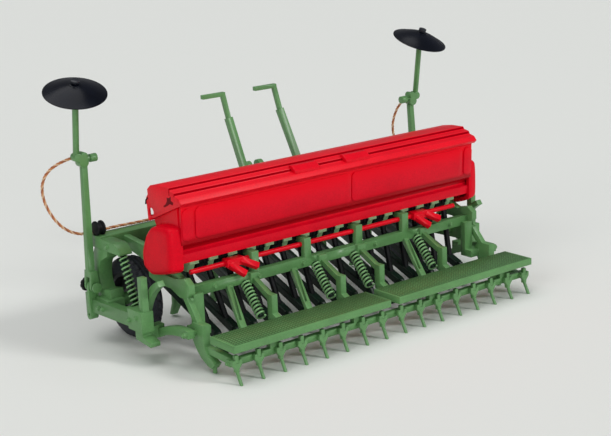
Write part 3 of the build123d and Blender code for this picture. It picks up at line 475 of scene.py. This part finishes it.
def tube_mesh(path, radius, sides, verts, faces):
    """Adds a closed tube along path to verts and faces."""
    first = len(verts)
    count = len(path)
    normal = None
    for i, p in enumerate(path):
        t = (path[min(i + 1, count - 1)] - path[max(i - 1, 0)]).normalized()
        if normal is None:
            normal = t.orthogonal().normalized()
        normal = (normal - t * normal.dot(t)).normalized()
        other = t.cross(normal)
        for k in range(sides):
            a = 2 * math.pi * k / sides
            verts.append(p + (normal * math.cos(a) + other * math.sin(a)) * radius)
    for i in range(count - 1):
        for k in range(sides):
            a = first + i * sides + k
            b = first + i * sides + (k + 1) % sides
            faces.append((a, b, b + sides, a + sides))
    faces.append(tuple(first + k for k in reversed(range(sides))))
    faces.append(tuple(first + (count - 1) * sides + k for k in range(sides)))


def frame_along(p, q):
    """Unit vector from p to q, and two square to it."""
    axis = (q - p).normalized()
    u = axis.orthogonal().normalized()
    return axis, u, axis.cross(u)


COIL_STEPS = 16                      # points on each turn of a coil
COIL_SIDES = 10
CORE_GAP = 2.4                       # from the coil's outside to its core, in wire radii


def coil_spring(name, ends, radius, wire, turns, material):
    """Helical springs on a thin dark core, painted shade seen between the turns, one mesh for several."""
    verts, faces, index = [], [], []
    for p, q in ends:
        axis, u, v = frame_along(p, q)
        length = (q - p).length
        steps = int(turns * COIL_STEPS)
        path = []
        for i in range(steps + 1):
            a = 2 * math.pi * turns * i / steps
            run = wire + (length - 2 * wire) * i / steps
            path.append(p + axis * run + (u * math.cos(a) + v * math.sin(a)) * (radius - wire))
        core = [p + axis * wire, q - axis * 2 * wire]
        for points, r, slot in ((path, wire, 0), (core, radius - CORE_GAP * wire, 1)):
            before = len(faces)
            tube_mesh(points, r, COIL_SIDES, verts, faces)
            index += [slot] * (len(faces) - before)
    return mesh_object(name, verts, faces, material, True, index)


AXIS_PASSES = 30                     # power iterations that find a sleeve's long axis


def axis_ends(node_name, count):
    """End points of each slanted sleeve of a node, from its loose islands."""
    bm = bmesh.new()
    bm.from_mesh(frame["nodes"][node_name].data)
    bmesh.ops.remove_doubles(bm, verts=bm.verts, dist=WELD_DISTANCE)
    seen = set()
    islands = []
    for start in bm.verts:
        if start in seen:
            continue
        seen.add(start)
        todo, island = [start], []
        while todo:
            vert = todo.pop()
            island.append(vert.co.copy())
            for neighbour in (v for e in vert.link_edges for v in e.verts):
                if neighbour not in seen:
                    seen.add(neighbour)
                    todo.append(neighbour)
        islands.append(island)
    bm.free()
    ends = []
    for pts in islands:
        mid = sum(pts, Vector()) / len(pts)
        d = (max(pts, key=lambda c: c.z) - mid).normalized()
        for _ in range(AXIS_PASSES):
            acc = Vector((0, 0, 0))
            for c in pts:
                r = c - mid
                acc += r * r.dot(d)
            d = acc.normalized()
        reach = [(c - mid).dot(d) for c in pts]
        ends.append((mid + d * max(reach), mid + d * min(reach)))
    assert len(ends) == count
    return ends


# ---------------------------------------------------------------- springs
# the coils' core takes the near-black green: painted shade seen between the turns
SPRING_MATS = [spring_mat, dark_green_and_coil_shade]
press_ends = axis_ends("pressure_springs", 4)
press = coil_spring("pressure_coils", press_ends, 1.25 * MM, 0.24 * MM, 10.5, SPRING_MATS)
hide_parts("pressure_springs")
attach(press, "frame")
wheel_ends = axis_ends("wheel_springs", 2)
wheel_coils = coil_spring("wheel_coils", wheel_ends, 1.15 * MM, 0.22 * MM, 11.5, SPRING_MATS)
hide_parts("wheel_springs")
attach(wheel_coils, "frame")


# ---------------------------------------------------------------- turned pieces
def lathe(centre, axis, profile, sides, verts, faces, closed=False, lobes=None):
    """Turns (radius, height) points about an axis; lobes(i, j) scales the radius at side i, point j."""
    _, u, v = frame_along(centre, centre + axis)
    first, count = len(verts), len(profile)
    for i in range(sides):
        a = 2 * math.pi * i / sides
        way = u * math.cos(a) + v * math.sin(a)
        for j, (r, h) in enumerate(profile):
            r = r * (lobes(i, j) if lobes else 1.0)
            verts.append(centre + axis * (h * MM) + way * (r * MM))
    for i in range(sides):
        a, b = first + i * count, first + (i + 1) % sides * count
        for j in range(count if closed else count - 1):
            k = (j + 1) % count
            faces.append((a + j, b + j, b + k, a + k))
    if not closed:
        faces.append(tuple(first + i * count for i in reversed(range(sides))))
        faces.append(tuple(first + i * count + count - 1 for i in range(sides)))


def sharpen(obj, degrees=38):
    """Marks the edges that turn by more than this as sharp."""
    obj.data.set_sharp_from_angle(angle=math.radians(degrees))
    return obj


joints = {j["name"]: j for j in frame["record"]["behaviour"]["joints"]}
SIDES = [("left", -1), ("right", 1)]

# tyre section: (radius, offset towards the outside of the machine)
TYRE_PROFILE = [
    (6.1, -2.55), (6.5, -2.78), (7.2, -2.8), (8.1, -2.72), (8.75, -2.5), (9.25, -2.2), (9.6, -1.75),
    (9.74, -1.3), (9.78, -0.62), (9.79, -0.5), (9.8, -0.2), (9.8, 0.2), (9.79, 0.5), (9.78, 0.62),
    (9.74, 1.3), (9.6, 1.75), (9.25, 2.2), (8.75, 2.5), (8.1, 2.72), (7.2, 2.8), (6.5, 2.78), (6.1, 2.55),
]
TYRE_STEPS = 168
BLOCK = 6                            # steps from one cross groove to the next
CROSS = 2                            # steps that a cross groove is wide
SWEEP = 1.6                          # steps that a cross groove moves back in each mm
RIB_HALF, RIB_GROOVE_END = 0.4, 0.7  # mm from the tyre's middle
SIDEWALL_FROM = 2.3
RIB_GROOVE_SHARE, CROSS_SHARE = 0.965, 0.958     # radius left at the bottom of each groove


def tread(i, j):
    """Cross grooves between blocks, swept back to the shoulders, and a groove each side of the middle rib."""
    offset = abs(TYRE_PROFILE[j][1])
    if offset < RIB_HALF or offset > SIDEWALL_FROM:
        return 1.0
    if offset < RIB_GROOVE_END:
        return RIB_GROOVE_SHARE
    return CROSS_SHARE if (i + int(offset * SWEEP)) % BLOCK < CROSS else 1.0


RIM_NUTS = 5
NUT_CIRCLE = 3.6
NUT_PROFILE = [(0.62, 0.3), (0.62, 0.55), (0.45, 0.6), (0.45, 0.95), (0.2, 1.0)]
for label, sign in SIDES:
    wheel = Vector(joints["wheel_" + label + "_spin"]["pos_m"])
    out = Vector((sign, 0, 0))
    verts, faces = [], []
    lathe(wheel, out, TYRE_PROFILE, TYRE_STEPS, verts, faces, True, tread)
    tyre = sharpen(mesh_object("tyre_tread_" + label, verts, faces, tyre_mat), 25)
    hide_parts("tyre_" + label)
    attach(tyre, "wheel_" + label)
    verts, faces = [], []
    for k in range(RIM_NUTS):
        a = 2 * math.pi * k / RIM_NUTS
        place = wheel + Vector((0, math.cos(a), math.sin(a))) * NUT_CIRCLE * MM
        lathe(place, out, NUT_PROFILE, 6, verts, faces)
    nuts = sharpen(mesh_object("rim_nuts_" + label, verts, faces, steel))
    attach(nuts, "wheel_" + label)

# ---------------------------------------------------------------- end covers
# outline where a cover meets the hopper: (y, z), and how far each corner is rounded
COVER_YZ = [
    (-8.7, 21.3, 0.10), (-4.5, 19.8, 0.25), (1.2, 18.6, 0.13), (4.4, 20.2, 0.13), (4.6, 23.8, 0.13),
    (2.4, 28.4, 0.15), (0.2, 30.6, 0.15), (-3.0, 31.6, 0.25), (-8.7, 31.6, 0.12),
]
COVER_MID = Vector((-2.6, 25.4))
COVER_ROUNDS = 4                     # times that the corners are cut
LATER_CUT = 0.25                     # share of a side taken off after the first round
COVER_DEPTH = 3.3


def rounded(outline):
    """Cuts each corner again and again, so that the outline turns smoothly."""
    points = [(Vector((y, z)), cut) for y, z, cut in outline]
    for step in range(COVER_ROUNDS):
        cut_once = []
        for k, (p, cut) in enumerate(points):
            share = cut if step == 0 else LATER_CUT
            for q, _ in (points[k - 1], points[(k + 1) % len(points)]):
                cut_once.append((p.lerp(q, share), cut))
        points = cut_once
    return [p for p, _ in points]


COVER_X1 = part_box("end_covers")[1][0] / MM
COVER_X0 = COVER_X1 - COVER_DEPTH
# from the hollow's floor round the rim to the middle of the outer face: (x, share of the outline)
COVER_RINGS = [
    (COVER_X1 - 1.6, 0.05), (COVER_X1 - 1.6, 0.80), (COVER_X0, 0.82), (COVER_X0, 0.985),
    (COVER_X0 + 0.15, 1.0), (COVER_X0 + 1.1, 0.98), (COVER_X1 - 1.2, 0.955), (COVER_X1 - 0.75, 0.935),
    (COVER_X1 - 0.4, 0.895), (COVER_X1 - 0.15, 0.83), (COVER_X1 - 0.03, 0.74), (COVER_X1, 0.6),
    (COVER_X1, 0.05),
]
edge = rounded(COVER_YZ)
verts, faces = [], []
for _, sign in SIDES:
    first, count = len(verts), len(edge)
    for x, share in COVER_RINGS:
        verts += [Vector((sign * x, *(COVER_MID + (p - COVER_MID) * share))) * MM for p in edge]
    for j in range(len(COVER_RINGS) - 1):
        for k in range(count):
            a, b = first + j * count + k, first + j * count + (k + 1) % count
            faces.append((a, b, b + count, a + count))
    faces.append(tuple(first + k for k in range(count)))
    faces.append(tuple(first + (len(COVER_RINGS) - 1) * count + k for k in range(count)))
covers = sharpen(mesh_object("hopper_end_caps", verts, faces, red_cover), 50)
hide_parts("end_covers")
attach(covers, "frame")

# ---------------------------------------------------------------- marker discs
# closed section of the dished disc with a boss, a step and a rolled edge: (radius, height)
DISC_PROFILE = [
    (0.58, 0.95), (0.58, 2.18), (1.25, 2.18), (1.42, 2.1), (1.5, 1.98), (1.9, 1.87), (2.6, 1.71), (3.3, 1.51),
    (4.0, 1.26), (4.7, 0.99), (5.4, 0.69), (6.0, 0.42), (6.6, 0.17), (7.0, 0.0), (7.25, -0.08), (7.37, -0.14),
    (7.38, -0.26), (7.26, -0.38), (7.0, -0.33), (5.5, 0.1), (3.6, 0.6), (1.6, 0.95),
]
for label, sign in SIDES:
    joint = joints["disc_" + label + "_spin"]
    axis = Vector(joint["axis"]).normalized()
    verts, faces = [], []
    lathe(Vector(joint["pos_m"]), axis, DISC_PROFILE, 112, verts, faces, True)
    disc = sharpen(mesh_object("disc_dish_" + label, verts, faces, blue_black), 30)
    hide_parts("marker_disc_" + label)
    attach(disc, "disc_" + label)

# ---------------------------------------------------------------- knobs and pulleys
KNOB_LOBES = 9
LOBE_STEPS = 6                       # sides to each lobe; the first and last sink in
KNOB_R = 1.7
KNOB_PROFILE = [(1.5, 0.0), (1.68, 0.15), (KNOB_R, 0.85), (1.5, 1.12), (0.9, 1.18)]


def knurl(i, j):
    """Share of the radius that is left at side i of a knob."""
    return 0.93 if i % LOBE_STEPS in (0, LOBE_STEPS - 1) else 1.0


verts, faces = [], []
low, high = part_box("pivot_knobs")
for _, sign in SIDES:
    x = sign * (high[0] - KNOB_R * MM)
    place = Vector((x, low[1], (low[2] + high[2]) / 2))
    lathe(place, Vector((0, 1, 0)), KNOB_PROFILE, LOBE_STEPS * KNOB_LOBES, verts, faces, lobes=knurl)
knobs = sharpen(mesh_object("pivot_knob_grips", verts, faces, black))
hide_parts("pivot_knobs")
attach(knobs, "frame")

# the drive shaft, ending level with the frame on the right
SHAFT_CUT = 2.7                      # taken off the right end
CHAMFER = 0.12
low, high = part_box("drive_shaft")
shaft_r = (high[2] - low[2]) / 2 / MM
shaft_run = (high[0] - low[0]) / MM - SHAFT_CUT
SHAFT_PROFILE = [
    (shaft_r - CHAMFER, 0.0), (shaft_r, CHAMFER),
    (shaft_r, shaft_run - CHAMFER), (shaft_r - CHAMFER, shaft_run),
]
verts, faces = [], []
shaft_end = Vector((low[0], (low[1] + high[1]) / 2, (low[2] + high[2]) / 2))
lathe(shaft_end, Vector((1, 0, 0)), SHAFT_PROFILE, 24, verts, faces)
shaft = sharpen(mesh_object("drive_shaft_bar", verts, faces, red))
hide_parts("drive_shaft")
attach(shaft, "frame")

# pulley section across the machine: (radius, offset from its inner face)
PULLEY_W = 2.3
PULLEY_PROFILE = [
    (0.9, 0.0), (1.6, 0.05), (1.78, 0.25), (1.78, 0.55), (1.35, 0.8), (1.3, 1.15), (1.35, 1.5),
    (1.78, 1.75), (1.78, 2.05), (1.6, 2.25), (0.9, PULLEY_W),
]
verts, faces = [], []
low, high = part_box("beam_pulleys")
for _, sign in SIDES:
    place = Vector((sign * (high[0] - PULLEY_W * MM), (low[1] + high[1]) / 2, (low[2] + high[2]) / 2))
    lathe(place, Vector((sign, 0, 0)), PULLEY_PROFILE, 48, verts, faces)
pulleys = sharpen(mesh_object("rope_pulleys", verts, faces, black))
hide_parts("beam_pulleys")
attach(pulleys, "frame")


# ---------------------------------------------------------------- bolts and small trim
RAY_LENGTH = 0.06
BOLT_SINK = 0.1 * MM


def surface(origin, way):
    """Where a ray first meets the model, and the way out of that surface."""
    graph = bpy.context.evaluated_depsgraph_get()
    start, ray = Vector(origin) * MM, Vector(way).normalized()
    hit, place, normal, *_ = scene.ray_cast(graph, start, ray, distance=RAY_LENGTH)
    assert hit, origin
    return place, normal


def bolt_head(place, out, r, verts, faces):
    """Washer and chamfered hexagon head, sunk a little into the surface."""
    place = place - out * BOLT_SINK
    lathe(place, out, [(1.35 * r, 0.0), (1.35 * r, 0.22), (1.2 * r, 0.28)], 18, verts, faces)
    lathe(place, out, [(r, 0.2), (r, 0.55), (0.82 * r, 0.68)], 6, verts, faces)


# one side of the machine; each is repeated on the other: from (x, y, z), way, radius
BOLTS = [
    ((60, 16.8, 8.6), (-1, 0, 0), 0.55), ((60, 14.8, 8.8), (-1, 0, 0), 0.5),
    ((60, 2.0, 9.4), (-1, 0, 0), 0.5), ((60, -1.2, 10.6), (-1, 0, 0), 0.45),
    ((60, 14.4, 23.6), (-1, 0, 0), 0.55), ((60, -13.4, 8.4), (-1, 0, 0), 0.5),
    ((60, -26.1, 4.6), (-1, 0, 0), 0.4), ((44.2, -20, 14.8), (0, 1, 0), 0.5),
    ((25.2, -20, 16.2), (0, 1, 0), 0.5), ((11.4, -20, 16.2), (0, 1, 0), 0.5),
    ((37.0, -20, 16.2), (0, 1, 0), 0.5), ((7.2, 40, 22.8), (0, -1, 0), 0.5),
    ((10.6, 40, 22.8), (0, -1, 0), 0.5), ((36, 40, 23.9), (0, -1, 0), 0.5),
    ((46, 40, 24.1), (0, -1, 0), 0.5), ((24, 40, 23.6), (0, -1, 0), 0.5),
    ((30, 23.2, 29.6), (-1, 0, 0), 0.5),
]
verts, faces = [], []
for origin, way, r in BOLTS:
    for _, sign in SIDES:
        place, out = surface((sign * origin[0], *origin[1:]), (sign * way[0], *way[1:]))
        bolt_head(place, out, r, verts, faces)
bolts = sharpen(mesh_object("frame_bolts", verts, faces, green))
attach(bolts, "frame")

# (y, z) outlines at each lid end: the forked recess under the rear ridge, drawn as a flat plate of painted
# shade, and the hinge hook
RECESS = [
    (-6.5, 38.3), (-5.8, 37.8), (-4.9, 37.8), (-4.9, 37.0), (-4.2, 36.1), (-3.3, 35.6), (-3.6, 35.3),
    (-5.0, 35.9), (-6.0, 36.5), (-7.2, 36.4), (-7.4, 37.0), (-6.5, 37.3),
]
HOOK = [(3.0, 36.3), (3.9, 35.6), (4.1, 34.9), (4.35, 34.7), (4.1, 35.8), (3.2, 36.6)]
RECESS_IN, RECESS_OUT = 0.3, 0.02    # how far each plate reaches in from the lid's end, and out of it
HOOK_IN, HOOK_OUT = 0.5, 0.1


def plate(outline, x0, x1, verts, faces):
    """Adds a flat plate with a (y, z) outline, from x0 to x1."""
    first, count = len(verts), len(outline)
    for x in (x0, x1):
        verts += [Vector((x * MM, y * MM, z * MM)) for y, z in outline]
    faces.append(tuple(first + k for k in range(count)))
    faces.append(tuple(first + count + k for k in reversed(range(count))))
    for k in range(count):
        n = (k + 1) % count
        faces.append((first + k, first + n, first + count + n, first + count + k))


# ribbed black outlet slides between the green metering housings: (y, z) outline
ROWS = 16
METER_X, METER_W = 40.1, 2.5
SLIDE = [
    (-5.7, 22.6), (-5.7, 21.3), (-5.3, 21.0), (-5.3, 20.4),
    (-4.6, 19.9), (-3.0, 19.9), (-2.4, 20.6), (-2.4, 22.6),
]
SLIDE_RIB = [(-6.05, 22.6), (-6.05, 21.5), (-5.6, 20.9), (-5.6, 22.6)]
SLIDE_INTO = 0.1                     # how far a slide reaches into the housings beside it
SLIDE_RIB_IN, SLIDE_RIB_HALF = 0.35, 0.14
pitch = 2 * METER_X / (ROWS - 1)
verts, faces = [], []
for k in range(ROWS - 1):
    left = -METER_X + pitch * k + METER_W / 2
    right = left + pitch - METER_W
    plate(SLIDE, left - SLIDE_INTO, right + SLIDE_INTO, verts, faces)
    for x in (left + SLIDE_RIB_IN, (left + right) / 2, right - SLIDE_RIB_IN):
        plate(SLIDE_RIB, x - SLIDE_RIB_HALF, x + SLIDE_RIB_HALF, verts, faces)
slides = mesh_object("outlet_slides", verts, faces, black, False)
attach(slides, "frame")

lid_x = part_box("lid")[1][0] / MM
verts, faces = [], []
for _, sign in SIDES:
    plate(RECESS, sign * (lid_x - RECESS_IN), sign * (lid_x + RECESS_OUT), verts, faces)
recess = mesh_object("lid_end_recess_shades", verts, faces, recess_shade_red, False)
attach(recess, "lid")
verts, faces = [], []
for _, sign in SIDES:
    plate(HOOK, sign * (lid_x - HOOK_IN), sign * (lid_x + HOOK_OUT), verts, faces)
hooks = mesh_object("lid_end_hooks", verts, faces, black, False)
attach(hooks, "lid")

# ---------------------------------------------------------------- ropes
ROPE_D = 0.75 * MM
LAY_LENGTH = 2.3 * MM
STRANDS = 3
STRAND_SHARE = 0.48                  # strand radius as a share of the rope's
STRAND_SIDES = 7
# control points (x, y, z) for the right side, mirrored for the left
BEAM_RUN = [(45.6, 21.7, 26.0), (36.0, 21.3, 25.8), (26.0, 22.7, 25.6), (16.0, 22.7, 24.1), (8.3, 23.0, 23.2)]
LEFT_LOOP = [
    (53.0, 22.6, 44.1), (56.4, 24.9, 43.0), (59.3, 27.2, 39.2), (58.9, 28.0, 33.4), (56.4, 25.6, 27.4),
    (52.2, 22.9, 25.0),
]
RIGHT_LOOP = [
    (53.0, 22.6, 44.1), (53.5, 25.4, 43.0), (52.6, 28.2, 39.6), (51.5, 29.0, 34.4), (51.8, 27.0, 28.4),
    (51.0, 23.2, 25.0),
]


def nurbs_points(name, route):
    """Points of the smooth line that has the route as its control points."""
    curve = bpy.data.curves.new(name, "CURVE")
    curve.dimensions = "3D"
    curve.resolution_u = 48
    spline = curve.splines.new("NURBS")
    spline.points.add(len(route) - 1)
    for point, co in zip(spline.points, route):
        point.co = (*co, 1)
    spline.order_u = 3
    spline.use_endpoint_u = True
    obj = bpy.data.objects.new(name, curve)
    scene.collection.objects.link(obj)
    bpy.context.view_layer.update()
    mesh = bpy.data.meshes.new_from_object(obj)
    points = [v.co.copy() for v in mesh.vertices]
    bpy.data.objects.remove(obj)
    bpy.data.curves.remove(curve)
    bpy.data.meshes.remove(mesh)
    return points


def rope(name, route, sign, node_name):
    """A laid rope along the route, one strand to each material."""
    route = [(sign * x * MM, y * MM, z * MM) for x, y, z in route]
    line = nurbs_points(name + "_line", route)
    verts, faces, index = [], [], []
    strand_r = ROPE_D / 2 * STRAND_SHARE
    orbit = ROPE_D / 2 - strand_r
    for s in range(STRANDS):
        normal = None
        path = []
        walked = 0.0
        for i, p in enumerate(line):
            t = (line[min(i + 1, len(line) - 1)] - line[max(i - 1, 0)]).normalized()
            if normal is None:
                normal = t.orthogonal().normalized()
            normal = (normal - t * normal.dot(t)).normalized()
            other = t.cross(normal)
            if i:
                walked += (p - line[i - 1]).length
            a = 2 * math.pi * (walked / LAY_LENGTH + s / STRANDS)
            path.append(p + (normal * math.cos(a) + other * math.sin(a)) * orbit)
        before = len(faces)
        tube_mesh(path, strand_r, STRAND_SIDES, verts, faces)
        index += [s] * (len(faces) - before)
    obj = mesh_object(name, verts, faces, strand_mats, True, index)
    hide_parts(node_name)
    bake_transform(obj)


rope("cord_left", LEFT_LOOP + BEAM_RUN, -1, "rope_left")
rope("cord_right", RIGHT_LOOP + BEAM_RUN, 1, "rope_right")
